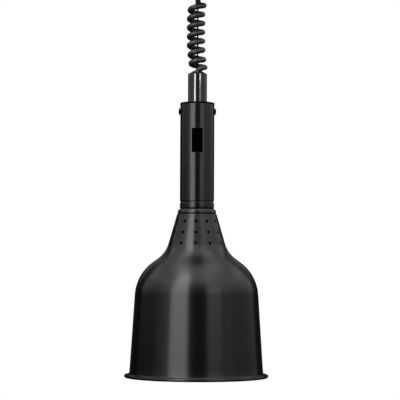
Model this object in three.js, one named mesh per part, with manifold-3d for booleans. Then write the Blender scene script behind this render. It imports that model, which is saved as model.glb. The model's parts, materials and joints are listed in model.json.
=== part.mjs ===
// Ceiling-hung heat lamp warmer with a rise-and-fall suspension: a canopy with a spring
// reel, a curly supply cord round a steel cable, and a switched lamp head with a spun,
// perforated shade over an R40 infrared bulb.
// Millimetres, +Z up. The origin is the centre of the ceiling plate's top face, so the
// whole lamp hangs below it. The switch faces -Y.

import * as THREE from 'three';
import { mergeVertices } from 'three/addons/utils/BufferGeometryUtils.js';
import Module from 'manifold-3d';

const wasm = await Module();
wasm.setup();

// ---------------------------------------------------------------- driving dimensions

const GAP = 0.3; // left between pieces that touch
const RUNNING = 0.15; // radial clearance round the rocker's pin
const ROUND = 36; // sides of the large turned pieces
const FINE = 16; // sides of the small turned pieces
const CEILING_TO_RIM = 582; // ceiling face to the plane of the shade's rim

// Shade
const RIM_RADIUS = 91.8;
const RIM_BEAD = 2.1;
const SHEET = 1.2;
const BODY_FOOT_RADIUS = 85.4;
const BODY_TOP_RADIUS = 78.8;
const BODY_TOP = 103.1; // heights above the rim plane from here on
const SHOULDER_RADIUS = 55.6;
const SHOULDER_SWEEP = 54;
const WAIST_RADIUS = 39.6; // where the shoulder's and the cone's straight sides would meet
const WAIST = 156.4;
const WAIST_REACH = 12.7; // of the rounding between them, along each side
const CONE_TOP_RADIUS = 24.5;
const CONE_TOP = 208.7;
const SHADE_TOP = 212.6;
const SHADE_HOLE = 19;
const VENT_ROWS = [168.4, 182.3, 196.3];
const VENTS_PER_ROW = 12;
const VENT_RADIUS = 2;

// Neck and stem
const NECK_RADIUS = 21.9;
const NECK_BORE = 20;
const NECK_FOOT = 222.3;
const NECK_TOP = 346.5;
const CAP_RADIUS = 22.3;
const CAP_THICK = 2;
const CAP_SCREW_HEIGHT = 337.6;
const STEM_RADIUS = 12.2;
const STEM_BORE = 9.8;
const STEM_FOOT = 322;
const STEM_TOP = 389.9;
const STEM_CROWN_RADIUS = 5.4; // of the flat top that the stem tapers in to
const STEM_CROWN_DEPTH = 3.8;

// Switch
const SWITCH_HEIGHT = 299.3;
const SWITCH_WIDTH = 14.2;
const SWITCH_LENGTH = 30.5;
const TERMINAL_RISE = 7; // of each terminal above or below the switch's middle
const SWITCH_FACE = 21.6; // distance of the frame's face from the neck's axis
const ROCKER_PIVOT = 15.5;
const ROCKER_REST_TILT = 7; // degrees; the upper end is pressed in

// Suspension
const CABLE_RADIUS = 1.1;
const CORD_RADIUS = 3.5;
const CORD_COIL_RADIUS = 12.5;
const CORD_ENTRY = 5.3; // offset of the cord from the cable where it enters the stem
const CORD_EXIT = 8; // offset of the cord from the cable where it leaves the canopy
const BALL_RADIUS = 13;
const BALL_CENTRE = -67;
const GRIP_FOOT = -97;

// Canopy and reel
const CANOPY_RADIUS = 65;
const CANOPY_DEPTH = 70;
const CANOPY_WALL = 1.5;
const CANOPY_CORNER = 12;
const PLATE_RADIUS = 63;
const PLATE_THICK = 2.5;
const CANOPY_SCREW_DEPTH = -12;
const REEL_PITCH_RADIUS = 20; // axis of the reel to the middle of the cable wound on it
const REEL_DEPTH = -32;
const REEL_HALF_WIDTH = 14;
const FLANGE_RADIUS = 23.5;
const AXLE_RADIUS = 3;
const FRAME_SCREWS = [-42, 6]; // X of the screws that hold the reel's frame

const aboveRim = (height) => height - CEILING_TO_RIM;
const radians = THREE.MathUtils.degToRad;

// ---------------------------------------------------------------- shapes

// Welds a geometry into one closed surface without collapsed faces, facing outwards.
function weld(geometry) {
  const bare = geometry.clone();
  for (const name of ['normal', 'uv']) bare.deleteAttribute(name);
  const merged = mergeVertices(bare, 1e-4);
  const source = merged.index.array;
  const at = merged.attributes.position;
  const faces = [];
  let volume = 0;
  const [a, b, c] = [new THREE.Vector3(), new THREE.Vector3(), new THREE.Vector3()];
  for (let i = 0; i < source.length; i += 3) {
    const [p, q, r] = [source[i], source[i + 1], source[i + 2]];
    if (p === q || q === r || r === p) continue;
    faces.push([p, q, r]);
    volume += a.fromBufferAttribute(at, p).dot(
      b.fromBufferAttribute(at, q).cross(c.fromBufferAttribute(at, r)));
  }
  const order = volume < 0 ? faces.map(([p, q, r]) => [p, r, q]) : faces;
  merged.setIndex(order.flat());
  return merged;
}

function toManifold(geometry) {
  const closed = weld(geometry);
  return new wasm.Manifold(new wasm.Mesh({
    numProp: 3,
    vertProperties: new Float32Array(closed.attributes.position.array),
    triVerts: new Uint32Array(closed.index.array),
  }));
}

function fromManifold(solid) {
  const mesh = solid.getMesh();
  const geometry = new THREE.BufferGeometry();
  geometry.setAttribute('position', new THREE.Float32BufferAttribute(mesh.vertProperties, 3));
  geometry.setIndex(Array.from(mesh.triVerts));
  return geometry;
}

const joined = (shapes) => fromManifold(
  shapes.map(toManifold).reduce((whole, piece) => whole.add(piece)));

const cut = (shape, ...tools) => fromManifold(
  toManifold(shape).subtract(tools.map(toManifold).reduce((all, tool) => all.add(tool))));

// Turns an outline of [radius, z] points, given anticlockwise, about the Z axis.
function turned(outline, sides = FINE) {
  const points = outline.map(([radius, z]) => new THREE.Vector2(radius, z));
  return weld(new THREE.LatheGeometry(points, sides).rotateX(Math.PI / 2));
}

const disc = (radius, low, high, sides = FINE) => turned(
  [[0, low], [radius, low], [radius, high], [0, high]], sides);

const ring = (outer, inner, low, high, sides = FINE) => turned(
  [[inner, low], [outer, low], [outer, high], [inner, high], [inner, low]], sides);

function block([x0, x1], [y0, y1], [z0, z1]) {
  return new THREE.BoxGeometry(x1 - x0, y1 - y0, z1 - z0)
    .translate((x0 + x1) / 2, (y0 + y1) / 2, (z0 + z1) / 2);
}

// Points of an arc about [cx, cy], between two angles in degrees.
function arc([cx, cy], radius, from, to, steps) {
  return Array.from({ length: steps + 1 }, (_, i) => {
    const angle = radians(from + (to - from) * i / steps);
    return [cx + radius * Math.cos(angle), cy + radius * Math.sin(angle)];
  });
}

// The same outline moved to its left by a distance, which is inwards on an outer wall.
function inset(outline, distance) {
  return outline.map(([x, y], i) => {
    const [px, py] = outline[Math.max(i - 1, 0)];
    const [nx, ny] = outline[Math.min(i + 1, outline.length - 1)];
    const before = Math.atan2(y - py, x - px);
    const after = Math.atan2(ny - y, nx - x);
    const first = i === 0 ? after : before;
    const last = i === outline.length - 1 ? before : after;
    const bend = Math.atan2(Math.sin(last - first), Math.cos(last - first));
    const normal = first + bend / 2 + Math.PI / 2;
    const reach = distance / Math.cos(bend / 2);
    return [x + reach * Math.cos(normal), y + reach * Math.sin(normal)];
  });
}

// A round wire or lead that follows a smooth curve through points.
function swept(route, radius, sides, steps) {
  const section = new THREE.Shape(
    arc([0, 0], radius, 0, 360, sides).slice(0, sides).map(([x, y]) => new THREE.Vector2(x, y)));
  const path = new THREE.CatmullRomCurve3(route.map((point) => new THREE.Vector3(...point)));
  return weld(new THREE.ExtrudeGeometry(section, { steps, bevelEnabled: false, extrudePath: path }));
}

// A flat outline of [x, y] points, given a thickness along Z from z = 0.
function flat(outline, thick) {
  const shape = new THREE.Shape(outline.map(([x, y]) => new THREE.Vector2(x, y)));
  return weld(new THREE.ExtrudeGeometry(shape, { depth: thick, bevelEnabled: false }));
}

// A screw along Z with a domed head above z = 0 and its shank below.
function screw(headRadius, headHeight, shankRadius, shankLength) {
  const dome = arc([0, 0], 1, 20, 90, 3).slice(0, 3).map(
    ([x, y]) => [headRadius * x, headHeight * y]);
  return turned([
    [0, -shankLength], [shankRadius, -shankLength], [shankRadius, 0],
    [headRadius, 0], ...dome, [0, headHeight],
  ], 12);
}

// ---------------------------------------------------------------- finishes

const finish = (color, roughness, metalness) => () => new THREE.MeshStandardMaterial(
  { color, roughness, metalness });

const blackSatin = finish(0x26282b, 0.42, 0.85);
const blackMatt = finish(0x101011, 0.55, 0.2);
const blackGloss = finish(0x1a1b1d, 0.18, 0.6);
const blackPlastic = finish(0x0c0c0d, 0.6, 0);
const blackRubber = finish(0x161617, 0.65, 0);
const steel = finish(0xb4b6b8, 0.35, 1);
const zinc = finish(0xc2c4c2, 0.45, 1);
const brass = finish(0xc9a24c, 0.3, 1);
const porcelain = finish(0xe9e6de, 0.3, 0);
const glass = finish(0xe8e2da, 0.15, 0);
const nylon = finish(0x2a2b2d, 0.5, 0);
const red = finish(0x9a2a22, 0.5, 0);
const white = finish(0xd9d9d6, 0.5, 0);
const green = finish(0x2f7a3c, 0.5, 0);

const lamp = new THREE.Group();

function add(name, geometry, material, position = [0, 0, 0], rotation = [0, 0, 0]) {
  const mesh = new THREE.Mesh(weld(geometry), material());
  mesh.name = name;
  mesh.position.set(...position);
  mesh.rotation.set(...rotation);
  lamp.add(mesh);
}

// ---------------------------------------------------------------- ceiling mount

function ceilingPlate() {
  const tab = (side) => block(
    [side * 61.4 - 0.8, side * 61.4 + 0.8], [-8, 8], [-20, -PLATE_THICK]);
  const tabHole = disc(2.3, -70, 70, 12).rotateY(Math.PI / 2).translate(0, 0, CANOPY_SCREW_DEPTH);
  const boxHoles = [-1, 1].map((side) => disc(2.6, -5, 1, 12).translate(0, side * 44.45, 0));
  const frameHoles = FRAME_SCREWS.map((x) => disc(2.2, -5, 1, 12).translate(x, 0, 0));
  const wireHole = disc(9, -5, 1).translate(34, 34, 0);
  const plate = joined([disc(PLATE_RADIUS, -PLATE_THICK, 0, ROUND), tab(-1), tab(1)]);
  add('ceiling_plate', cut(plate, tabHole, ...boxHoles, ...frameHoles, wireHole), zinc);
}

function canopy() {
  const floor = -CANOPY_DEPTH;
  const corner = [CANOPY_RADIUS - CANOPY_CORNER, floor + CANOPY_CORNER];
  const outer = [
    [17.3, floor],
    ...arc(corner, CANOPY_CORNER, -90, 0, 3),
    [CANOPY_RADIUS, -0.6],
  ];
  const inner = inset(outer, CANOPY_WALL).reverse();
  const cup = turned([...outer, ...inner, outer[0]], ROUND);
  const screwHole = disc(2.3, -80, 80, 12).rotateY(Math.PI / 2)
    .translate(0, 0, CANOPY_SCREW_DEPTH);
  add('canopy_shell', cut(cup, screwHole), blackSatin);
  for (const [name, side] of [['left', -1], ['right', 1]]) {
    add(`canopy_screw_${name}`, screw(5, 3, 2, 7), blackMatt,
      [side * (CANOPY_RADIUS + GAP), 0, CANOPY_SCREW_DEPTH], [0, side * Math.PI / 2, 0]);
  }
}

function reelFrame() {
  const top = -PLATE_THICK - GAP;
  const cheek = (side) => block(
    [-34, -6], [side * 16.8 - 0.75, side * 16.8 + 0.75], [-46, top]);
  const frame = joined([block([-48, 12], [-17.5, 17.5], [top - 1.5, top]), cheek(-1), cheek(1)]);
  const axleHole = disc(AXLE_RADIUS + GAP, -30, 30).rotateX(Math.PI / 2)
    .translate(-REEL_PITCH_RADIUS, 0, REEL_DEPTH);
  const holes = FRAME_SCREWS.map((x) => disc(2.2, -10, 1, 12).translate(x, 0, 0));
  add('reel_frame', cut(frame, axleHole, ...holes), zinc);
  for (const [i, name] of ['outer', 'inner'].entries()) {
    add(`reel_frame_screw_${name}`, screw(3.8, 2.2, 1.9, 4.2), steel,
      [FRAME_SCREWS[i], 0, top - 1.5 - GAP], [Math.PI, 0, 0]);
  }
}

function reelAxle() {
  const pin = turned([
    [0, -20], [4.4, -20], [4.4, -18], [AXLE_RADIUS, -18],
    [AXLE_RADIUS, 31.5], [0, 31.5],
  ], 16);
  add('reel_axle', pin.rotateX(-Math.PI / 2), steel, [-REEL_PITCH_RADIUS, 0, REEL_DEPTH]);
}

function springCase() {
  const [near, far] = [18, 30];
  const bore = AXLE_RADIUS + GAP;
  const cup = turned([
    [bore, far - 1.2], [22, far - 1.2], [22, near], [23.2, near],
    [23.2, far], [bore, far], [bore, far - 1.2],
  ].reverse(), 24);
  add('reel_spring_case', cup.rotateX(-Math.PI / 2), blackPlastic,
    [-REEL_PITCH_RADIUS, 0, REEL_DEPTH]);
}

// A flat spiral of spring steel between the axle and the case.
function powerSpring() {
  const [turns, steps, first, last, strip] = [4, 64, 4.4, 20.6, 0.6];
  const spiral = (offset) => Array.from({ length: steps + 1 }, (_, i) => {
    const part = i / steps;
    const radius = first + (last - first) * part + offset;
    const angle = 2 * Math.PI * turns * part;
    return [radius * Math.cos(angle), radius * Math.sin(angle)];
  });
  const outline = [...spiral(strip), ...spiral(0).reverse()];
  add('reel_power_spring', flat(outline, 9).rotateX(-Math.PI / 2), steel,
    [-REEL_PITCH_RADIUS, 19, REEL_DEPTH]);
}

function guideSocket() {
  const seat = arc([0, BALL_CENTRE], BALL_RADIUS + GAP, -20, 36, 4);
  const lip = -CANOPY_DEPTH - GAP;
  const body = turned([
    seat[0], [20, lip - 1.2], [20, lip], [17, lip], [17, -57],
    seat[4], ...seat.slice(1, 4).reverse(), seat[0],
  ], 24);
  add('guide_socket', body, nylon);
  const floor = -CANOPY_DEPTH + CANOPY_WALL + GAP;
  add('guide_nut', ring(21.5, 17.3, floor, floor + 5, 24), zinc);
}

function terminalBlock() {
  const body = block([22, 50], [-9, 9], [-17, -PLATE_THICK - GAP]);
  const ports = [-4.5, 4.5].map((y) => disc(2, -20, -12, 12).translate(29, y, 0));
  const wells = [-4.5, 4.5].map((y) => disc(2.6, -20, -10, 12).translate(42, y, 0));
  add('terminal_block', cut(body, ...ports, ...wells), white);
  for (const [name, y] of [['line', -4.5], ['neutral', 4.5]]) {
    add(`terminal_screw_${name}`, disc(2.2, -15, -10.3, 12), brass, [42, y, 0]);
  }
}

// ---------------------------------------------------------------- reel

function reel() {
  const [half, web] = [REEL_HALF_WIDTH, 2];
  const barrel = REEL_PITCH_RADIUS - CABLE_RADIUS - GAP;
  const bore = AXLE_RADIUS + GAP;
  const drum = turned([
    [bore, -half], [FLANGE_RADIUS, -half], [FLANGE_RADIUS, web - half], [barrel, web - half],
    [barrel, half - web], [FLANGE_RADIUS, half - web], [FLANGE_RADIUS, half], [bore, half],
    [bore, -half],
  ], 28);
  const eyes = [0, 120, 240].map((angle) => disc(3.5, -20, 20, 12)
    .translate(11, 0, 0).rotateZ(radians(angle)));
  const place = [-REEL_PITCH_RADIUS, 0, REEL_DEPTH];
  add('reel_drum', cut(drum, ...eyes).rotateX(-Math.PI / 2), nylon, place);
  const winding = ring(
    REEL_PITCH_RADIUS + CABLE_RADIUS, REEL_PITCH_RADIUS - CABLE_RADIUS, -6, 6, 28);
  add('reel_cable_wrap', winding.rotateX(-Math.PI / 2), steel, place);
}

// ---------------------------------------------------------------- swivelling guide

function hangSwivel() {
  const ball = turned(
    arc([0, BALL_CENTRE], BALL_RADIUS, -90, 90, 10).map(([r, z]) => [Math.abs(r), z]), 24);
  // The bore flares upwards so that the cable above it stays clear as the ball swivels.
  const cableHole = turned(
    [[0, -90], [1.4, -90], [1.4, BALL_CENTRE], [4.6, -53], [4.6, -50], [0, -50]], 12);
  const cordHole = disc(CORD_RADIUS + GAP, -90, -40, 16).translate(0, CORD_EXIT, 0);
  const gripSeat = disc(5.2, -90, -73.7, 16).translate(0, CORD_EXIT, 0);
  add('guide_ball', cut(ball, cableHole, cordHole, gripSeat), nylon);
  const bore = CORD_RADIUS + 0.1;
  const grip = turned([
    [bore, GRIP_FOOT], [4.2, GRIP_FOOT], [4.9, -78.5], [4.9, -74], [bore, -74], [bore, GRIP_FOOT],
  ], 16);
  add('cord_grip', grip, blackRubber, [0, CORD_EXIT, 0]);
}

// ---------------------------------------------------------------- cable and cord

function cableAndCord() {
  const wire = (low, high) => disc(CABLE_RADIUS, low, high, 8);
  add('reel_cable_run', wire(BALL_CENTRE + GAP / 2, REEL_DEPTH - 10.5), steel);
  add('suspension_cable', wire(aboveRim(310.5), BALL_CENTRE - GAP / 2), steel);
  add('curly_cord', ring(
    CORD_COIL_RADIUS, 3, aboveRim(STEM_TOP) + GAP, GRIP_FOOT - GAP, 24), blackRubber);
  const inside = [
    [29, 0, -21], [27, 3, -31], [19, 8, -37], [10, 9.8, -40], [3.6, 8.8, -46], [0, CORD_EXIT, -53],
  ];
  add('cord_in_canopy', swept(inside, CORD_RADIUS, 10, 16), blackRubber);
  const tail = disc(CORD_RADIUS, aboveRim(317.2), aboveRim(STEM_TOP), 12);
  add('cord_in_stem', tail, blackRubber, [0, -CORD_ENTRY, 0]);
}

// ---------------------------------------------------------------- stem and cap

// The keyhole that the cable and, in front of it, the cord pass through.
function cordway(low, high) {
  return [
    disc(CABLE_RADIUS + GAP, low, high, 12),
    block([-CABLE_RADIUS, CABLE_RADIUS], [-CORD_ENTRY, 0], [low, high]),
    disc(CORD_RADIUS + GAP, low, high, 16).translate(0, -CORD_ENTRY, 0),
  ];
}

function stem() {
  const [foot, top] = [aboveRim(STEM_FOOT), aboveRim(STEM_TOP)];
  const [crown, roof] = [top - STEM_CROWN_DEPTH, 2];
  const tube = turned([
    [0, top - roof], [STEM_CROWN_RADIUS, top - roof], [STEM_BORE, crown - roof / 2],
    [STEM_BORE, foot], [STEM_RADIUS, foot], [STEM_RADIUS, crown], [STEM_CROWN_RADIUS, top],
    [0, top],
  ], 24);
  add('stem_tube', cut(tube, ...cordway(crown - 5, top + 1)), blackGloss);
  const bush = cut(
    disc(STEM_BORE - GAP, aboveRim(372), aboveRim(381), 24),
    disc(6.7, aboveRim(370), aboveRim(383), 20).translate(0, -2.4, 0));
  add('stem_bush', bush, blackRubber);
  const anchor = cut(
    disc(11.5, aboveRim(318.2), aboveRim(321.7), 24),
    ...cordway(aboveRim(317), aboveRim(323)));
  add('cable_anchor', anchor, zinc);
  add('cable_ferrule', ring(
    1.75, CABLE_RADIUS + 0.1, aboveRim(311.5), aboveRim(317.9), 12), zinc);
  const hex = cut(
    disc(16.6, aboveRim(338.6), aboveRim(346.2), 6),
    disc(STEM_RADIUS + GAP + 0.1, aboveRim(337), aboveRim(348), 24));
  add('stem_nut', hex, zinc);
  const lug = joined([
    ring(15, STEM_RADIUS + GAP + 0.1, aboveRim(337.1), aboveRim(338.3), 24),
    block([12.8, 15.6], [-2.6, 2.6], [aboveRim(329), aboveRim(338.3)]),
  ]);
  add('ground_lug', lug, brass);
}

function neckCap() {
  const [low, high] = [aboveRim(NECK_TOP) + GAP, aboveRim(NECK_TOP) + GAP + CAP_THICK];
  const skirt = NECK_BORE - GAP;
  const foot = aboveRim(328);
  const cap = turned([
    [17.6, foot], [skirt, foot], [skirt, low], [CAP_RADIUS, low], [CAP_RADIUS, high - 0.6],
    [CAP_RADIUS - 0.6, high], [STEM_RADIUS + GAP, high], [STEM_RADIUS + GAP, low], [17.6, low],
    [17.6, foot],
  ], ROUND);
  const holes = disc(2.3, -30, 30, 12).rotateY(Math.PI / 2)
    .translate(0, 0, aboveRim(CAP_SCREW_HEIGHT));
  add('neck_cap', cut(cap, holes), blackMatt);
  for (const [name, side] of [['left', -1], ['right', 1]]) {
    add(`cap_screw_${name}`, screw(4.5, 2.2, 2, 4.2), blackMatt,
      [side * (NECK_RADIUS + 0.1), 0, aboveRim(CAP_SCREW_HEIGHT)], [0, side * Math.PI / 2, 0]);
  }
}

function neckTube() {
  const tube = ring(NECK_RADIUS, NECK_BORE, aboveRim(NECK_FOOT), aboveRim(NECK_TOP), ROUND);
  const holes = disc(2.3, -30, 30, 12).rotateY(Math.PI / 2)
    .translate(0, 0, aboveRim(CAP_SCREW_HEIGHT));
  const half = SWITCH_LENGTH / 2;
  const window = block(
    [-SWITCH_WIDTH / 2, SWITCH_WIDTH / 2], [-NECK_RADIUS - 5, -10],
    [aboveRim(SWITCH_HEIGHT - half), aboveRim(SWITCH_HEIGHT + half)]);
  add('neck_tube', cut(tube, holes, window), blackSatin);
}

// ---------------------------------------------------------------- switch

function switchUnit() {
  const middle = aboveRim(SWITCH_HEIGHT);
  const [halfWidth, halfLength] = [SWITCH_WIDTH / 2 - GAP, SWITCH_LENGTH / 2 - GAP];
  const centred = (half) => [-half, half];
  const spread = (half) => [middle - half, middle + half];
  const outside = block(centred(halfWidth), [-SWITCH_FACE, -3], spread(halfLength));
  const pocket = block(centred(5.3), [-SWITCH_FACE - 5, -10.5], spread(13.3));
  const pinHole = disc(1.1 + RUNNING, -10, 10, 16).rotateY(Math.PI / 2)
    .translate(0, -ROCKER_PIVOT, middle);
  add('switch_housing', cut(outside, pocket, pinHole), blackPlastic);
  add('rocker_pin', disc(1.1, -6.3, 6.3, 16).rotateY(Math.PI / 2), steel,
    [0, -ROCKER_PIVOT, middle]);
  for (const [name, side] of [['upper', 1], ['lower', -1]]) {
    const blade = block([-3.1, 3.1], [GAP - 3, 6], [-0.4, 0.4]);
    add(`switch_terminal_${name}`, blade, brass, [0, 0, middle + TERMINAL_RISE * side]);
  }
}

// The rocker's side view, as [distance out of the neck, height] about its pin.
function rocker() {
  const outline = [
    [-2.9, -2.4], [-1.2, -5.5], [-0.6, -12.2], [4.3, -12.4], [3.5, -6], [3.2, 0],
    [3.5, 6], [4.3, 12.4], [-0.6, 12.2], [-1.2, 5.5], [-2.9, 2.4],
  ];
  const slab = flat(outline, 10).translate(0, 0, -5);
  const body = cut(slab, disc(1.1 + RUNNING, -8, 8, 16));
  // The outline's first axis becomes -Y and its second Z, so the width runs along X.
  const turn = new THREE.Matrix4().makeBasis(
    new THREE.Vector3(0, -1, 0), new THREE.Vector3(0, 0, 1), new THREE.Vector3(-1, 0, 0));
  body.applyMatrix4(turn).rotateX(radians(-ROCKER_REST_TILT));
  add('switch_rocker', body, blackPlastic, [0, -ROCKER_PIVOT, aboveRim(SWITCH_HEIGHT)]);
}

// ---------------------------------------------------------------- lamp holder

function lampHolder() {
  const wall = turned([
    [14.4, aboveRim(201)], [16.7, aboveRim(201)], [16.7, aboveRim(236.6)],
    [19.4, aboveRim(236.6)], [19.4, aboveRim(243)], [17, aboveRim(247)],
    [0, aboveRim(247)], [0, aboveRim(238)], [14.4, aboveRim(238)], [14.4, aboveRim(201)],
  ], 24);
  const wireHoles = [-1, 1].map((side) => disc(1.5, aboveRim(235), aboveRim(250), 12)
    .translate(side * 8, 6, 0));
  const contactHole = disc(1.6, aboveRim(235), aboveRim(250), 12);
  add('socket_body', cut(wall, ...wireHoles, contactHole), porcelain);
  const shell = turned([
    [13.5, aboveRim(203)], [14.1, aboveRim(203)], [14.1, aboveRim(236.5)],
    [6, aboveRim(236.5)], [6, aboveRim(235.9)], [13.5, aboveRim(235.9)], [13.5, aboveRim(203)],
  ], 24);
  add('socket_shell', shell, brass);
  add('socket_contact', turned([
    [0, aboveRim(232.4)], [3.6, aboveRim(232.4)], [3.6, aboveRim(233.4)],
    [1.3, aboveRim(233.4)], [1.3, aboveRim(251)], [0, aboveRim(251)],
  ], 16), brass);
  add('socket_clamp_ring', ring(19.6, 17.4, aboveRim(247.3), aboveRim(250.3), 24), zinc);
}

function leads() {
  const [upper, lower] = [SWITCH_HEIGHT + TERMINAL_RISE, SWITCH_HEIGHT - TERMINAL_RISE];
  const lead = (route) => swept(
    route.map(([x, y, height]) => [x, y, aboveRim(height)]), 1.2, 6, 12);
  add('lead_line', lead(
    [[1.4, -5, 316], [2.8, -1, 315.4], [5, 7, 312], [4, 13, 309.4], [0.6, 12, upper + 0.4],
      [0, 7, upper]]), blackRubber);
  add('lead_neutral', lead(
    [[-1.4, -5, 316], [-4.2, -1, 315.6], [-10, 8, 306], [-11.5, 12, 292], [-11, 12, 272],
      [-8, 6, 248]]), white);
  add('lead_switched', lead(
    [[0, 7, lower], [0, 12, lower - 0.6], [1, 14.5, 284], [4, 12, 268], [7.4, 8, 256], [8, 6, 248]]),
  red);
  add('lead_ground', lead(
    [[0, -7, 316], [5, -8.4, 315.4], [11.4, -8.4, 317], [14.7, -4, 322.5], [14.2, 0, 328.2]]), green);
}

// ---------------------------------------------------------------- shade

function collar() {
  const grooveTop = aboveRim(NECK_FOOT) - GAP;
  const bandTop = grooveTop - 2;
  add('shade_collar', turned([
    [17.1, aboveRim(203)], [18.7, aboveRim(203)], [18.7, aboveRim(SHADE_TOP) + GAP],
    [20.6, aboveRim(SHADE_TOP) + GAP], [NECK_RADIUS, aboveRim(214.2)],
    [NECK_RADIUS, bandTop], [20.9, bandTop + 0.6], [20.9, grooveTop],
    [19.7, grooveTop], [19.7, aboveRim(236.3)], [17.1, aboveRim(236.3)],
    [17.1, aboveRim(203)],
  ], ROUND), blackSatin);
  const nut = cut(
    disc(21.2, aboveRim(205.8), aboveRim(SHADE_TOP) - SHEET - GAP, 12),
    disc(SHADE_HOLE, aboveRim(205), aboveRim(213), 24));
  add('shade_nut', nut, zinc);
}

// Outer side of the shade, from the rim to its top: [radius, height above the rim].
function shadeOutline() {
  const leadIn = Math.atan2(BODY_FOOT_RADIUS - BODY_TOP_RADIUS, BODY_TOP) * 180 / Math.PI;
  const centre = [
    BODY_TOP_RADIUS - SHOULDER_RADIUS * Math.cos(radians(leadIn)),
    BODY_TOP - SHOULDER_RADIUS * Math.sin(radians(leadIn)),
  ];
  const shoulder = arc(centre, SHOULDER_RADIUS, leadIn, SHOULDER_SWEEP, 6);
  const waist = new THREE.Vector2(WAIST_RADIUS, WAIST);
  const away = (end) => new THREE.Vector2(...end).sub(waist).setLength(WAIST_REACH).add(waist);
  const rounding = new THREE.QuadraticBezierCurve(
    away(shoulder.at(-1)), waist, away([CONE_TOP_RADIUS, CONE_TOP]));
  return [
    ...arc([RIM_RADIUS - RIM_BEAD, 0], RIM_BEAD, -90, 90, 4),
    [87, RIM_BEAD],
    [BODY_FOOT_RADIUS - 0.2, 4.6],
    ...shoulder,
    ...rounding.getPoints(4).map(({ x, y }) => [x, y]),
    [CONE_TOP_RADIUS, CONE_TOP],
    [CONE_TOP_RADIUS - 2.5, SHADE_TOP],
    [SHADE_HOLE, SHADE_TOP],
  ];
}

function shade() {
  const outer = shadeOutline();
  const inner = inset(outer.slice(4), SHEET).reverse();
  const outline = [...outer, ...inner, [RIM_RADIUS - 2 * RIM_BEAD, -0.6], outer[0]];
  const bell = turned(outline.map(([radius, height]) => [radius, aboveRim(height)]), ROUND);
  const fall = (WAIST_RADIUS - CONE_TOP_RADIUS) / (CONE_TOP - WAIST);
  const vents = VENT_ROWS.flatMap((height) => {
    const radius = CONE_TOP_RADIUS + (CONE_TOP - height) * fall;
    return Array.from({ length: VENTS_PER_ROW }, (_, i) => disc(VENT_RADIUS, -4, 4, 6)
      .rotateY(Math.PI / 2 - Math.atan(fall))
      .translate(radius, 0, aboveRim(height))
      .rotateZ(2 * Math.PI * i / VENTS_PER_ROW));
  });
  add('shade', cut(bell, ...vents), blackSatin);
}

// ---------------------------------------------------------------- bulb

function bulb() {
  const neckTop = 205.4;
  const outer = [
    [0, 60],
    ...arc([0, 210], 150, -82, -71, 2),
    ...arc([50.5, 90], 13, -65, 25, 3),
    [56, 117], [41, 143], [24, 171], [17.4, 186], [15.6, 196], [12.1, neckTop],
  ];
  const inner = inset(outer.slice(1), 0.9).reverse();
  const outline = [...outer, ...inner, [0, 60.9]];
  add('bulb_glass', turned(outline.map(([r, height]) => [r, aboveRim(height)]), 24), glass);
  add('bulb_base', turned([
    [12.5, aboveRim(205.8)], [13.1, aboveRim(205.8)], [13.1, aboveRim(227)],
    [7, aboveRim(229.4)], [5, aboveRim(229.4)], [5, aboveRim(228.8)], [7, aboveRim(228.8)],
    [12.5, aboveRim(226.6)], [12.5, aboveRim(205.8)],
  ], 24), brass);
  add('bulb_contact', turned([
    [0, aboveRim(228)], [4.4, aboveRim(228)], [4.4, aboveRim(230.4)], [2, aboveRim(232.1)],
    [0, aboveRim(232.1)],
  ], 16), brass);
  add('bulb_stem', turned([
    [0, aboveRim(168)], [3.4, aboveRim(168)], [4, aboveRim(184)], [8.6, aboveRim(200)],
    [10.9, aboveRim(204)], [10.9, aboveRim(205.4)], [0, aboveRim(205.4)],
  ], 16), glass);
  for (const [name, side] of [['left', -1], ['right', 1]]) {
    const route = [[side * 2, 0, 167.7], [side * 5, 0, 150], [side * 13, 0, 128]];
    add(`filament_lead_${name}`, swept(
      route.map(([x, y, height]) => [x, y, aboveRim(height)]), 0.5, 6, 6), steel);
  }
  const loop = arc([0, 0], 13, 195, 345, 6).map(
    ([x, y]) => [x, y + 3.4, aboveRim(127)]);
  add('filament', swept(loop, 0.7, 6, 12), steel);
}

// ---------------------------------------------------------------- assembly

ceilingPlate();
canopy();
reelFrame();
reelAxle();
springCase();
powerSpring();
guideSocket();
terminalBlock();
reel();
hangSwivel();
cableAndCord();
stem();
neckCap();
neckTube();
switchUnit();
rocker();
lampHolder();
leads();
collar();
shade();
bulb();

export default lamp;
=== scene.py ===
"""Ceiling-hung rise-and-fall heat lamp warmer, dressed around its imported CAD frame.

Lengths in the outlines are millimetres, as they are drawn, and every mesh is in metres.
The origin is the centre of the ceiling plate's top face, +Z is up and the switch faces -Y.
"""

import json
import math

import bmesh
import bpy
import numpy as np
from mathutils import Matrix, Vector

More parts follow.
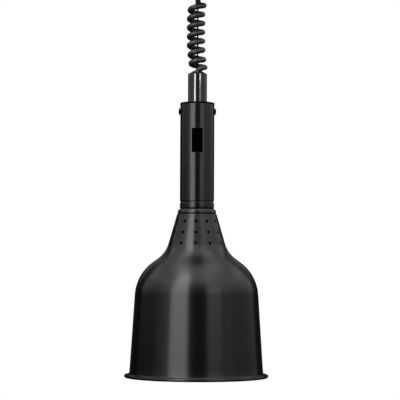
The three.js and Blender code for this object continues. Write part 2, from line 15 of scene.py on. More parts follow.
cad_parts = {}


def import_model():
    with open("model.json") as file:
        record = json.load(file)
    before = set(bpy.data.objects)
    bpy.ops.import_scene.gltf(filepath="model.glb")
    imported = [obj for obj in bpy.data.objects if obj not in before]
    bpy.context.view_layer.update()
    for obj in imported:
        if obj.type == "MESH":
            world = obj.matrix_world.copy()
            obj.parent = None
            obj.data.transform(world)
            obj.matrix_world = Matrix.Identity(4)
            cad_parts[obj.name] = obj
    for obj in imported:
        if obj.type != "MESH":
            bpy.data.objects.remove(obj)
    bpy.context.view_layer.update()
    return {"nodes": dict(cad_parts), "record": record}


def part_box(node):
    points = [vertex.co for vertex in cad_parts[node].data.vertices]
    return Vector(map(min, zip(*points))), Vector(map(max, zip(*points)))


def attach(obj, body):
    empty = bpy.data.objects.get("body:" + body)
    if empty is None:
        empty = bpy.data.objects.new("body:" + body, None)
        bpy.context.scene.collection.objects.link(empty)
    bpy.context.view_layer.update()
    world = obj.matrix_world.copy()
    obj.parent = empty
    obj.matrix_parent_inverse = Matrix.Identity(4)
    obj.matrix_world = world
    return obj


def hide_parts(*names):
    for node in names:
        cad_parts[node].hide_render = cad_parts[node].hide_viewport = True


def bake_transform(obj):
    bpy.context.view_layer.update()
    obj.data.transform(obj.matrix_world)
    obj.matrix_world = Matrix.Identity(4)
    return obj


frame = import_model()

# ------------------------------------------------------------------ driving dimensions

MM = 0.001
SIDES = 160  # round the large turned pieces
RIM_BEAD = 2.1
RIM_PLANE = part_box("shade")[0].z / MM + RIM_BEAD
RIM_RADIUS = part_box("shade")[1].x / MM
SHADE_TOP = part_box("shade")[1].z / MM - RIM_PLANE
NECK_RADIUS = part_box("neck_tube")[1].x / MM
NECK_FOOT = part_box("neck_tube")[0].z / MM - RIM_PLANE
NECK_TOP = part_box("neck_tube")[1].z / MM - RIM_PLANE
STEM_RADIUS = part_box("stem_tube")[1].x / MM
STEM_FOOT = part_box("stem_tube")[0].z / MM - RIM_PLANE
STEM_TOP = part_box("stem_tube")[1].z / MM - RIM_PLANE
STEM_BORE = 9.8
STEM_CROWN_RADIUS = 5.4
STEM_CROWN_DEPTH = 3.8
CAP_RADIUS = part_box("neck_cap")[1].x / MM
SHEET = 1.2
CABLE_RADIUS = 1.1
CORD_RADIUS = 3.5
COIL_RADIUS = 8.5  # axis of the coil to the middle of the cord
CORD_ENTRY = 5.3
CORD_EXIT = 8.0
BALL_CENTRE = -67.0
BALL_RADIUS = 13.0
GRIP_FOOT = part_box("cord_grip")[0].z / MM
CABLE_FOOT = 310.5  # above the rim
CABLE_LAY = 9.0  # rise of one laid wire in a full turn
CAP_SCREW_HEIGHT = 337.6  # above the rim
CAP_SCREW_HOLE = 2.3
CANOPY_RADIUS = 65.0
CANOPY_SCREW_Z = -12
SILVERING_HEIGHT = 98  # above the rim, where the bulb's frosted face ends
BULB_NECK_HEIGHT = 160  # above the rim, where the bulb's neck starts being painted near black as painted shade behind the vents
FLOOR_Z = -1480
FLOOR_RADIUS = 8000


def above_rim(height):
    """Z, in millimetres, of a height above the plane of the shade's rim."""
    return RIM_PLANE + height


def metres(points):
    return [tuple(value * MM for value in point) for point in points]


# ------------------------------------------------------------------ camera

CAMERA_DISTANCE = 2.0
CAMERA_HEIGHT = 127.7  # millimetres above the rim plane
CAMERA_TILT = 2.76  # degrees upwards
FOCAL_SHARE = 1564.5 / 400  # focal length over the picture's width
SENSOR = 36.0
CAMERA_SIDE = 4.3  # millimetres to the right of the lamp's axis
CAMERA_ROLL = -0.25  # degrees


def make_camera():
    data = bpy.data.cameras.new("camera")
    data.sensor_width = SENSOR
    data.lens = SENSOR * FOCAL_SHARE
    camera = bpy.data.objects.new("camera", data)
    bpy.context.scene.collection.objects.link(camera)
    camera.location = (CAMERA_SIDE * MM, -CAMERA_DISTANCE, above_rim(CAMERA_HEIGHT) * MM)
    camera.rotation_euler = (math.radians(90 + CAMERA_TILT), math.radians(CAMERA_ROLL), 0)
    bpy.context.scene.camera = camera


# ------------------------------------------------------------------ mesh helpers


def link(name, mesh):
    piece = bpy.data.objects.new(name, mesh)
    bpy.context.scene.collection.objects.link(piece)
    return piece


def shaded(mesh, angle=32):
    """Smooth shading that stays sharp at edges over an angle in degrees."""
    mesh.shade_smooth()
    mesh.set_sharp_from_angle(angle=math.radians(angle))


def arc(centre, radius, start, end, steps):
    """Points of an arc between two angles in degrees."""
    return [
        (centre[0] + radius * math.cos(a), centre[1] + radius * math.sin(a))
        for a in np.radians(np.linspace(start, end, steps + 1))
    ]


def rounded(outline, radius, steps=3):
    """A closed outline with each corner turned into an arc, as far as its sides allow."""
    points = [Vector(p) for p in outline]
    result = []
    for before, corner, after in zip(points[-1:] + points[:-1], points, points[1:] + points[:1]):
        to_before, to_after = (before - corner), (after - corner)
        half = to_before.angle(to_after) / 2
        if half > math.radians(84):
            result.append(tuple(corner))
            continue
        reach = min(radius / math.tan(half), 0.45 * to_before.length, 0.45 * to_after.length)
        first = corner + to_before.normalized() * reach
        last = corner + to_after.normalized() * reach
        for i in range(steps + 1):
            t = i / steps
            result.append(tuple(
                first * (1 - t) ** 2 + corner * 2 * t * (1 - t) + last * t ** 2))
    return result


def supported(outline, closed, long=3.0, margin=0.2):
    """Adds a point close to each end of a long straight, to keep its shading straight."""
    result = []
    ends = outline[1:] + (outline[:1] if closed else [])
    for start, end in zip(outline, ends):
        result.append(start)
        span = math.dist(start, end)
        if span > long:
            for share in (margin / span, 1 - margin / span):
                result.append(tuple(a + (b - a) * share for a, b in zip(start, end)))
    return result if closed else result + outline[-1:]


def turned(name, outline, sides=SIDES, closed=True, angle=32):
    """Turns an outline of (radius, z), anticlockwise and in millimetres, about the Z axis.

    A closed outline makes a ring; an open one starts and ends on the axis. The UV map's
    second number is the distance along the outline in metres, so that turning marks
    follow the surface."""
    outline = supported([(max(r, 0.0), z) for r, z in outline], closed)
    rows, along, travelled = [], [], 0.0
    vertices, faces, uvs = [], [], []
    for i, (radius, z) in enumerate(outline):
        if i:
            travelled += math.dist(outline[i - 1], (radius, z)) * MM
        along.append(travelled)
        if radius < 1e-6:
            rows.append([len(vertices)] * sides)
            vertices.append((0.0, 0.0, z * MM))
            continue
        rows.append(list(range(len(vertices), len(vertices) + sides)))
        for k in range(sides):
            turn = 2 * math.pi * k / sides
            vertices.append((radius * MM * math.cos(turn), radius * MM * math.sin(turn), z * MM))
    spans = list(zip(range(len(rows)), list(range(1, len(rows))) + ([0] if closed else [])))
    for i, j in spans:
        end = along[j] if j > i else travelled + math.dist(outline[i], outline[j]) * MM
        for k in range(sides):
            n = (k + 1) % sides
            corners = [
                (rows[i][k], k, along[i]), (rows[i][n], k + 1, along[i]),
                (rows[j][n], k + 1, end), (rows[j][k], k, end),
            ]
            face = []
            for corner in corners:
                if not face or (corner[0] != face[-1][0] and corner[0] != face[0][0]):
                    face.append(corner)
            if len(face) > 2:
                faces.append([corner[0] for corner in face])
                uvs.extend((corner[1] / sides, corner[2]) for corner in face)
    mesh = bpy.data.meshes.new(name)
    mesh.from_pydata(vertices, [], faces)
    layer = mesh.uv_layers.new(name="turning")
    layer.data.foreach_set("uv", [value for uv in uvs for value in uv])
    shaded(mesh, angle)
    return link(name, mesh)


def ring(name, outer, inner, low, high, soften=0.3, sides=96):
    corners = [(inner, low), (outer, low), (outer, high), (inner, high)]
    return turned(name, rounded(corners, soften), sides)


def swept(name, route, radius, sides=16):
    """A round tube with rounded-off flat ends along a route in millimetres."""
    path = np.array(route) * MM
    tangents = np.gradient(path, axis=0)
    tangents /= np.linalg.norm(tangents, axis=1)[:, None]
    side = np.cross(tangents[0], (0.3, 0.5, 0.8))
    rings, vertices, faces, uvs = [], [], [], []
    steps = np.linalg.norm(np.diff(path, axis=0), axis=1)
    along = np.concatenate([[0], np.cumsum(steps)])
    for point, tangent in zip(path, tangents):
        side = side - tangent * np.dot(side, tangent)
        side /= np.linalg.norm(side)
        up = np.cross(tangent, side)
        rings.append(len(vertices))
        for k in range(sides):
            turn = 2 * math.pi * k / sides
            vertices.append(point + radius * MM * (math.cos(turn) * side + math.sin(turn) * up))
    for i in range(len(rings) - 1):
        for k in range(sides):
            n = (k + 1) % sides
            faces.append([rings[i] + k, rings[i] + n, rings[i + 1] + n, rings[i + 1] + k])
            low, high = along[i], along[i + 1]
            uvs.extend([(k / sides, low), ((k + 1) / sides, low),
                        ((k + 1) / sides, high), (k / sides, high)])
    for first, order in ((rings[0], -1), (rings[-1], 1)):
        faces.append([first + k for k in range(sides)][::order])
        uvs.extend((k / sides, 0.0) for k in range(sides))
    mesh = bpy.data.meshes.new(name)
    mesh.from_pydata([tuple(v) for v in vertices], [], faces)
    layer = mesh.uv_layers.new(name="length")
    layer.data.foreach_set("uv", [float(value) for uv in uvs for value in uv])
    shaded(mesh, 40)
    return link(name, mesh)


def smooth_route(points, steps):
    """A Catmull-Rom curve through points, with a number of steps between each two."""
    p = np.array(points, float)
    padded = np.vstack([2 * p[0] - p[1], p, 2 * p[-1] - p[-2]])
    route = []
    for a, b, c, d in zip(padded, padded[1:], padded[2:], padded[3:]):
        for i in range(steps):
            t = i / steps
            route.append(0.5 * (
                2 * b + (c - a) * t + (2 * a - 5 * b + 4 * c - d) * t ** 2
                + (3 * b - a - 3 * c + d) * t ** 3))
    return route + [p[-1]]


def moved(piece, matrix):
    """Bakes a placing into the mesh, in metres."""
    piece.data.transform(matrix)
    return piece


def placed(x, y, z):
    return Matrix.Translation(Vector((x, y, z)) * MM)


def finished(piece, *modifiers):
    """Applies modifiers, given as (type, settings), and leaves a plain mesh."""
    for kind, settings in modifiers:
        modifier = piece.modifiers.new(kind.lower(), kind)
        for name, value in settings.items():
            setattr(modifier, name, value)
    evaluated = piece.evaluated_get(bpy.context.evaluated_depsgraph_get())
    mesh = bpy.data.meshes.new_from_object(evaluated)
    piece.modifiers.clear()
    piece.data = mesh
    return piece


def softened(node, width=0.25, angle=32):
    """A copy of a CAD node, welded, with its real edges rounded off."""
    mesh = frame["nodes"][node].data.copy()
    work = bmesh.new()
    work.from_mesh(mesh)
    bmesh.ops.remove_doubles(work, verts=work.verts, dist=1e-6)
    bmesh.ops.dissolve_limit(
        work, angle_limit=math.radians(1), verts=work.verts, edges=work.edges)
    work.to_mesh(mesh)
    work.free()
    mesh.materials.clear()
    piece = link(f"{node}_fine", mesh)
    bevel = {"width": width * MM, "segments": 2, "limit_method": "ANGLE",
             "angle_limit": math.radians(40), "use_clamp_overlap": True}
    finished(piece, ("BEVEL", bevel))
    shaded(piece.data, angle)
    return piece


# ------------------------------------------------------------------ node trees


class Wire:
    """One output of a node tree, with the operators that add Math nodes."""

    def __init__(self, tree, socket):
        self.tree = tree
        self.socket = socket

    def maths(self, operation, *values):
        return self.tree.add("ShaderNodeMath", {"operation": operation}, *values)

    def __add__(self, other):
        return self.maths("ADD", self, other)

    def __radd__(self, other):
        return self.maths("ADD", other, self)

    def __sub__(self, other):
        return self.maths("SUBTRACT", self, other)

    def __mul__(self, other):
        return self.maths("MULTIPLY", self, other)

    def __gt__(self, other):
        return self.maths("GREATER_THAN", self, other)


class Tree:
    """A node tree: add() makes any node and returns one of its outputs as a Wire."""

    def __init__(self, tree):
        self.tree = tree

    def put(self, socket, value):
        if isinstance(value, Wire):
            self.tree.links.new(value.socket, socket)
        elif value is not None:
            socket.default_value = value

    def add(self, kind, settings, *values, output=0, **named):
        node = self.tree.nodes.new(kind)
        for name, value in settings.items():
            if name == "stops":
                for element, (position, shade) in zip(node.color_ramp.elements, value):
                    element.position = position
                    element.color = (shade, shade, shade, 1)
            else:
                setattr(node, name, value)
        for socket, value in zip(node.inputs, values):
            self.put(socket, value)
        for name, value in named.items():
            self.put(node.inputs[name.replace("_", " ")], value)
        return Wire(self, node.outputs[output])


class Finish(Tree):
    """A material in the making, around one Principled shader."""

    def __init__(self, name, **constants):
        self.material = bpy.data.materials.new(name)
        self.material.use_nodes = True
        super().__init__(self.material.node_tree)
        self.shader = self.tree.nodes["Principled BSDF"]
        for socket, value in constants.items():
            self.shader.inputs[socket.replace("_", " ")].default_value = value

    def feed(self, **wires):
        for socket, wire in wires.items():
            self.put(self.shader.inputs[socket.replace("_", " ")], wire)

    def place(self, scale=(1, 1, 1)):
        """Object coordinates, in metres, times a scale."""
        at = self.add("ShaderNodeTexCoord", {}, output=3)
        return self.add("ShaderNodeVectorMath", {"operation": "MULTIPLY"}, at, scale)

    def along(self):
        """Distance along a turned piece's outline, or along a cord, in metres."""
        uv = self.add("ShaderNodeTexCoord", {}, output=2)
        return self.add("ShaderNodeSeparateXYZ", {}, uv, output=1)

    def noise(self, where, detail=3.0, roughness=0.5):
        return self.add("ShaderNodeTexNoise", {}, Vector=where, Scale=1.0, Detail=detail,
                        Roughness=roughness)

    def ramp(self, value, low, high):
        """0 up to low, 1 from high, and straight between."""
        return self.add("ShaderNodeValToRGB", {"stops": [(low, 0), (high, 1)]}, value)

    def mix(self, mask, low, high):
        """Two colours mixed by a mask."""
        wide = [colour if isinstance(colour, Wire) else (*colour, 1) for colour in (low, high)]
        return self.add("ShaderNodeMix", {"data_type": "RGBA"}, mask, *[None] * 5, *wide, output=2)

    def bump(self, height, distance, strength=1.0):
        self.feed(Normal=self.add("ShaderNodeBump", {}, Strength=strength, Distance=distance,
                                  Height=height))


# ------------------------------------------------------------------ finishes


def turning_lines(finish, round_scale, line_scale):
    """Noise drawn out round a turned piece and fine along its outline."""
    about = finish.place((round_scale, round_scale, 0))
    line = finish.add("ShaderNodeCombineXYZ", {}, Z=finish.along() * line_scale)
    where = finish.add("ShaderNodeVectorMath", {"operation": "ADD"}, about, line)
    return finish.noise(where, detail=4, roughness=0.6)


def spun_black(name="spun_black", lined_from=None):
    """Satin black over spun sheet. Beyond lined_from along the outline it is bare metal."""
    finish = Finish(name, Metallic=1.0, Anisotropic=0.85, Anisotropic_Rotation=0.25)
    lines = turning_lines(finish, 14, 2400)
    bands = turning_lines(finish, 3, 160)
    cloud = finish.noise(finish.place((9, 9, 5)), detail=2)
    tint = finish.mix(finish.ramp(cloud, 0.42, 0.60), (0.0295, 0.030, 0.0320), (0.0315, 0.0310, 0.0275))
    shade = finish.mix(finish.ramp(lines, 0.3, 0.7), (0.020, 0.020, 0.021), (0.040, 0.0405, 0.0415))
    colour = finish.mix(bands * 0.5 + 0.15, tint, shade)
    roughness = 0.20 + lines * 0.12 + bands * 0.05
    if lined_from is not None:
        inside = finish.along() > lined_from
        colour = finish.mix(inside, colour, finish.mix(lines, (0.09, 0.09, 0.09), (0.15, 0.15, 0.148)))
        roughness = roughness + inside * 0.12
    finish.feed(Base_Color=colour, Roughness=roughness)
    finish.bump(lines, 0.00003, 0.35)
    return finish.material


def matt_black():
    finish = Finish("matt_black", Specular_IOR_Level=0.0)
    grain = finish.noise(finish.place((900, 900, 900)), detail=3)
    finish.feed(Base_Color=finish.mix(grain, (0.0015, 0.0015, 0.0016), (0.004, 0.004, 0.0042)),
                Roughness=0.42 + grain * 0.2)
    finish.bump(grain, 0.00004, 0.5)
    return finish.material


def gloss_black():
    """Glossy black enamel on tube, with faint drawing marks along it."""
    finish = Finish("gloss_black", Specular_IOR_Level=0.25)
    marks = finish.noise(finish.place((700, 700, 22)), detail=3)
    smear = finish.noise(finish.place((160, 160, 60)), detail=3)
    finish.feed(Base_Color=finish.mix(smear, (0.004, 0.004, 0.0045), (0.010, 0.010, 0.011)),
                Roughness=0.04 + marks * 0.06)
    finish.bump(smear, 0.0002, 0.1)
    return finish.material


def black_plastic():
    finish = Finish("black_plastic", Specular_IOR_Level=0.0)
    grain = finish.noise(finish.place((1600, 1600, 1600)), detail=2)
    finish.feed(Base_Color=finish.mix(grain, (0.0002, 0.0002, 0.0002), (0.0006, 0.0006, 0.0006)),
                Roughness=0.5 + grain * 0.25)
    finish.bump(grain, 0.00005, 0.5)
    return finish.material


def moulded(name, low, high, roughness=0.4, grain_size=0.0012):
    """A moulded plastic or insulation in one colour, with a fine uneven skin."""
    finish = Finish(name, Specular_IOR_Level=0.5)
    per_metre = 1 / grain_size
    grain = finish.noise(finish.place((per_metre, per_metre, per_metre)), detail=3)
    cloud = finish.noise(finish.place((40, 40, 40)), detail=2)
    finish.feed(Base_Color=finish.mix(cloud, low, high), Roughness=roughness + grain * 0.15)
    finish.bump(grain, 0.00004, 0.4)
    return finish.material


def cord_rubber():
    """A smooth jacket with a fine uneven skin and a dusting of bloom."""
    finish = Finish("cord_rubber", Specular_IOR_Level=0.38)
    bloom = finish.noise(finish.place((120, 120, 120)), detail=4)
    skin = finish.noise(finish.place((1500, 1500, 1500)), detail=2)
    finish.feed(Base_Color=finish.mix(bloom, (0.006, 0.006, 0.0065), (0.017, 0.017, 0.018)),
                Roughness=0.30 + bloom * 0.22)
    finish.bump(skin, 0.00003, 0.5)
    return finish.material


def steel(name, low, high, roughness, grain=(400, 400, 400)):
    finish = Finish(name, Metallic=1.0)
    streak = finish.noise(finish.place(grain), detail=4)
    cloud = finish.noise(finish.place((60, 60, 60)), detail=3)
    finish.feed(Base_Color=finish.mix(cloud, low, high), Roughness=roughness + streak * 0.2)
    finish.bump(streak, 0.00003, 0.5)
    return finish.material


def zinc():
    """Passivated zinc plate: grey, with a faint crystal pattern."""
    finish = Finish("zinc_plate", Metallic=1.0)
    spangle = finish.add("ShaderNodeTexVoronoi", {}, Vector=finish.place((260, 260, 260)),
                         Scale=1.0, output=1)
    level = finish.add("ShaderNodeRGBToBW", {}, spangle)
    cloud = finish.noise(finish.place((50, 50, 50)), detail=3)
    finish.feed(Base_Color=finish.mix(cloud * 0.6 + level * 0.4, (0.46, 0.47, 0.47), (0.66, 0.66, 0.64)),
                Roughness=0.32 + level * 0.14)
    finish.bump(cloud, 0.0001, 0.3)
    return finish.material


def porcelain():
    finish = Finish("glazed_porcelain", Coat_Weight=0.6, Coat_Roughness=0.12)
    speck = finish.noise(finish.place((900, 900, 900)), detail=2)
    ripple = finish.noise(finish.place((140, 140, 140)), detail=2)
    finish.feed(Base_Color=finish.mix(finish.ramp(speck, 0.3, 0.42), (0.60, 0.56, 0.50), (0.84, 0.82, 0.77)),
                Roughness=0.25 + ripple * 0.15)
    finish.bump(ripple, 0.0002, 0.3)
    return finish.material


def bulb_glass():
    """Frosted face below, silvered reflector above, and a neck painted near black as painted shade."""
    finish = Finish("reflector_bulb", Coat_Weight=1.0, Coat_Roughness=0.08)
    height = finish.add("ShaderNodeSeparateXYZ", {}, finish.place(), output=2)
    silvered = finish.ramp(height * 20 + (0.5 - 20 * above_rim(SILVERING_HEIGHT) * MM), 0.44, 0.56)
    frost = finish.noise(finish.place((2500, 2500, 2500)), detail=2)
    cloud = finish.noise(finish.place((45, 45, 45)), detail=3)
    face = finish.mix(frost * 0.5 + cloud * 0.5, (0.72, 0.70, 0.66), (0.90, 0.88, 0.84))
    silvering_and_painted_shade = finish.mix(cloud, (0.70, 0.70, 0.69), (0.86, 0.86, 0.85))
    # Painted shade: above this height the silvered neck is darkened to near black, so that the vents look
    # dark.
    painted_shade_neck = finish.ramp(height * 20 + (0.5 - 20 * above_rim(BULB_NECK_HEIGHT) * MM), 0.4, 0.6)
    silvering_and_painted_shade = finish.mix(painted_shade_neck, silvering_and_painted_shade, (0.035, 0.034, 0.033))
    finish.feed(Base_Color=finish.mix(silvered, face, silvering_and_painted_shade), Metallic=silvered * 0.95,
                Roughness=0.42 + frost * 0.1 - silvered * 0.25)
    finish.bump(frost, 0.00005, 0.4)
    return finish.material


def pale_floor():
    finish = Finish("pale_floor", Specular_IOR_Level=0.2)
    cloud = finish.noise(finish.place((3, 3, 3)), detail=3)
    finish.feed(Base_Color=finish.mix(cloud, (0.86, 0.86, 0.86), (0.90, 0.90, 0.895)),
                Roughness=0.75 + cloud * 0.1)
    finish.shader.inputs["Emission Color"].default_value = (1, 1, 1, 1)
    finish.shader.inputs["Emission Strength"].default_value = 0.35
    return finish.material


FINISHES = {
    "satin_black": spun_black(),
    "matt_black": matt_black(),
    "gloss_black": gloss_black(),
    "zinc_steel": zinc(),
    "bright_steel": steel("bright_steel", (0.55, 0.56, 0.57), (0.68, 0.69, 0.70), 0.18),
    "spring_steel": steel("spring_steel", (0.20, 0.22, 0.28), (0.34, 0.35, 0.38), 0.25),
    "wire_rope": steel("wire_rope", (0.003, 0.003, 0.0033), (0.010, 0.010, 0.011), 0.45),
    "black_nylon": moulded("black_nylon", (0.014, 0.014, 0.015), (0.026, 0.026, 0.027), 0.35),
    "black_plastic": black_plastic(),
    "black_rubber": cord_rubber(),
    "brass": steel("brass", (0.62, 0.45, 0.19), (0.80, 0.62, 0.30), 0.22),
    "white_plastic": moulded("white_plastic", (0.74, 0.74, 0.71), (0.82, 0.82, 0.80)),
    "porcelain": porcelain(),
    "bulb_glass": bulb_glass(),
    "filament_wire": steel("filament_wire", (0.26, 0.26, 0.27), (0.42, 0.42, 0.43), 0.35),
    "black_insulation": moulded("black_insulation", (0.012, 0.012, 0.012), (0.024, 0.024, 0.024)),
    "white_insulation": moulded("white_insulation", (0.72, 0.72, 0.69), (0.84, 0.84, 0.82)),
    "red_insulation": moulded("red_insulation", (0.42, 0.04, 0.03), (0.58, 0.07, 0.05)),
    "green_insulation": moulded("green_insulation", (0.03, 0.24, 0.07), (0.06, 0.36, 0.12)),
}


def dressed(piece, body, slot, *nodes, material=None):
    """Gives a finished piece the material of its slot, parents it to its body, and hides the CAD nodes it
    stands for.
    """
    piece.data.materials.clear()
    piece.data.materials.append(material or FINISHES[slot])
    if body:
        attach(piece, body)
    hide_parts(*nodes)
    return piece


# ------------------------------------------------------------------ cord and cable


def coil_route():
    """Middle of the curly cord, from the grip in the guide ball down into the stem.

    The lowest turn lies closest to its neighbour, where it rests on the stem."""
    steps = 24
    turns = 7.25
    lowest = STEM_TOP + 4.9  # on the right, above the stem's edge
    route = [(0.0, CORD_EXIT, z) for z in (GRIP_FOOT + 4, GRIP_FOOT)]
    route += [(0.3, CORD_EXIT + 0.25, GRIP_FOOT - 2.6), (-0.1, CORD_EXIT + 0.9, GRIP_FOOT - 5.4)]
    for turn in np.arange(turns - 2 / steps, -0.5 / steps, -1 / steps):
        angle = 2 * math.pi * turn
        rise = np.interp(turn, (0, 1, 2, turns), (0, 9.9, 22.4, 82.8))
        lean = np.interp(turn, (0, 1, 2.5, 6, turns), (0.8, -0.7, -2.2, -2.2, 0))
        route.append((
            lean + COIL_RADIUS * math.cos(angle), COIL_RADIUS * math.sin(angle),
            above_rim(lowest + rise)))
    for degrees, radius, drop in ((-16, 9.1, 0.3), (-34, 8.7, 0.9), (-52, 8.0, 1.9), (-70, 7.0, 3.4)):
        angle = math.radians(degrees)
        route.append((radius * math.cos(angle), radius * math.sin(angle), above_rim(lowest - drop)))
    for x, drop in ((0.7, 5.2), (-0.2, 7.4), (-0.3, 10.0), (0.0, 13.0), (0.0, 16.0)):
        route.append((x, -CORD_ENTRY - 0.1, above_rim(lowest - drop)))
    return route


def curly_cord():
    route = smooth_route(coil_route(), 2)
    path = metres(route)
    cord = dressed(swept("curly_cord_jacket", route, CORD_RADIUS, 20), None, "black_rubber",
                   "curly_cord")
    above_rim(STEM_TOP) * MM
    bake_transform(cord)


class Shapes(Tree):
    """A geometry tree with named inputs, run once to give a plain mesh."""

    def __init__(self, name, **inputs):
        super().__init__(bpy.data.node_groups.new(name, "GeometryNodeTree"))
        face = self.tree.interface
        face.new_socket("Geometry", in_out="INPUT", socket_type="NodeSocketGeometry")
        face.new_socket("Geometry", in_out="OUTPUT", socket_type="NodeSocketGeometry")
        self.values = inputs
        for label, value in inputs.items():
            whole = isinstance(value, int)
            face.new_socket(label, in_out="INPUT",
                            socket_type="NodeSocketInt" if whole else "NodeSocketFloat")
        self.entry = self.tree.nodes.new("NodeGroupInput")
        self.end = self.tree.nodes.new("NodeGroupOutput")

    def given(self, label):
        return Wire(self, self.entry.outputs[label])

    def run(self, piece, geometry, material):
        """Ends the tree in real, coloured geometry and leaves its result as the mesh."""
        whole = self.add("GeometryNodeRealizeInstances", {}, geometry)
        coloured = self.add("GeometryNodeSetMaterial", {}, whole, Material=material)
        self.put(self.end.inputs[0], coloured)
        modifier = piece.modifiers.new(self.tree.name, "NODES")
        modifier.node_group = self.tree
        for item in self.tree.interface.items_tree:
            if item.in_out == "INPUT" and item.name in self.values:
                modifier[item.identifier] = self.values[item.name]
        return finished(piece)


def strands(name, length, material, radius, lay, count=6):
    """Laid wires round a straight core wire, from z = 0 upwards, by geometry nodes."""
    wire = radius / 3
    shapes = Shapes(name, Length=length * MM, Wire=wire * MM, Middle=(radius - wire) * MM,
                    Turns=length / lay, Count=count, Steps=12)
    spiral = shapes.add(
        "GeometryNodeCurveSpiral", {}, Resolution=shapes.given("Steps"),
        Rotations=shapes.given("Turns"), Start_Radius=shapes.given("Middle"),
        End_Radius=shapes.given("Middle"), Height=shapes.given("Length"))
    section = shapes.add("GeometryNodeCurvePrimitiveCircle", {}, Resolution=6,
                         Radius=shapes.given("Wire"))
    strand = shapes.add("GeometryNodeCurveToMesh", {}, spiral, section, Fill_Caps=True)
    starts = shapes.add("GeometryNodeMeshLine", {}, Count=shapes.given("Count"), Offset=(0, 0, 0))
    index = shapes.add("GeometryNodeInputIndex", {})
    angle = index * (2 * math.pi / count)
    turn = shapes.add("ShaderNodeCombineXYZ", {}, Z=angle)
    laid = shapes.add("GeometryNodeInstanceOnPoints", {}, starts, Instance=strand, Rotation=turn)
    core_line = shapes.add("GeometryNodeCurvePrimitiveLine", {}, (0, 0, 0), (0, 0, length * MM))
    core = shapes.add("GeometryNodeCurveToMesh", {}, core_line, section, Fill_Caps=True)
    both = shapes.tree.nodes.new("GeometryNodeJoinGeometry")
    shapes.tree.links.new(laid.socket, both.inputs[0])
    shapes.tree.links.new(core.socket, both.inputs[0])
    piece = link(name, bpy.data.meshes.new(name))
    return shapes.run(piece, Wire(shapes, both.outputs[0]), material)


def suspension_cable():
    top, foot = BALL_CENTRE - 0.15, above_rim(CABLE_FOOT)
    cable = strands("suspension_cable_strands", top - foot, FINISHES["wire_rope"], CABLE_RADIUS,
                    CABLE_LAY)
    moved(cable, placed(0, 0, foot))
    shaded(cable.data, 60)
    dressed(cable, None, "wire_rope", "suspension_cable")
    above_rim(STEM_TOP) * MM
    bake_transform(cable)


# ------------------------------------------------------------------ ceiling end


def canopy():
    radius, depth, wall, corner = CANOPY_RADIUS, -70.0, 1.5, 12.0
    bend = arc((radius - corner, depth + corner), corner, -90, 0, 14)
    inner_bend = arc((radius - corner, depth + corner), corner - wall, 0, -90, 14)
    outline = [(17.3, depth), *bend, (radius, -1.4), (radius - 0.5, -0.6), (radius - wall + 0.2, -0.6),
               (radius - wall, -0.9), *inner_bend, (17.3, depth + wall)]
    shell = turned("canopy_shell_spun", outline)
    hole = turned("canopy_screw_hole", [(0, -80), (2.3, -80), (2.3, 80), (0, 80)], 32, closed=False)
    moved(hole, placed(0, 0, CANOPY_SCREW_Z) @ Matrix.Rotation(math.pi / 2, 4, "Y"))
    dressed(carved(shell, hole), "ceiling_mount", "satin_black", "canopy_shell")


def carved(piece, *cutters):
    """The piece with the cutters taken out of it."""
    for cutter in cutters:
        finished(piece, ("BOOLEAN", {"object": cutter, "operation": "DIFFERENCE", "solver": "EXACT"}))
        bpy.data.objects.remove(cutter)
    shaded(piece.data)
    return piece


def ceiling_plate():
    dressed(softened("ceiling_plate", 0.2), "ceiling_mount", "zinc_steel", "ceiling_plate")


def swivel_guide():
    lip = -70.3
    seat = arc((0, BALL_CENTRE), BALL_RADIUS + 0.3, -20, 36, 16)
    outline = [seat[0], (19.4, lip - 1.2), (20, lip - 0.6), (20, lip), (17, lip), (17, -57.4),
               (16.6, -57), *seat[::-1][:-1]]
    dressed(turned("guide_socket_moulded", outline, 128), "ceiling_mount", "black_nylon", "guide_socket")
    nut = ring("guide_nut_turned", 21.5, 17.3, -68.2, -63.2, 0.5)
    dressed(nut, "ceiling_mount", "zinc_steel", "guide_nut")
    ball = turned("guide_ball_moulded", [
        (1.4, BALL_CENTRE - 12.9), *arc((0, BALL_CENTRE), BALL_RADIUS, -83, 69, 48),
        (4.6, -54.8), (4.6, -55.4), (1.4, BALL_CENTRE)], 96)
    holes = []
    for radius, low, high in ((CORD_RADIUS + 0.3, -90, -40), (5.2, -90, -73.7)):
        hole = turned("ball_hole", [(0, low), (radius, low), (radius, high), (0, high)], 40, closed=False)
        holes.append(moved(hole, placed(0, CORD_EXIT, 0)))
    dressed(carved(ball, *holes), "hang_swivel", "black_nylon", "guide_ball")


def cord_grip():
    """A tapered strain relief with flex ribs."""
    bore, top = CORD_RADIUS + 0.1, -74.0
    outline = [(bore, GRIP_FOOT), (4.05, GRIP_FOOT), (4.2, GRIP_FOOT + 0.3)]
    ribs = 6
    pitch = (top - 5.5 - GRIP_FOOT) / ribs
    for i in range(ribs):
        low = GRIP_FOOT + 0.8 + i * pitch
        radius = 4.25 + 0.65 * i / ribs
        outline += [(radius, low), (radius, low + pitch * 0.6), (radius - 0.35, low + pitch * 0.68),
                    (radius - 0.35, low + pitch * 0.92)]
    outline += [(4.9, top - 4.2), (4.9, top), (bore, top)]
    grip = moved(turned("cord_grip_ribbed", outline, 64), placed(0, CORD_EXIT, 0))
    dressed(grip, "hang_swivel", "black_rubber", "cord_grip")


# ------------------------------------------------------------------ screws


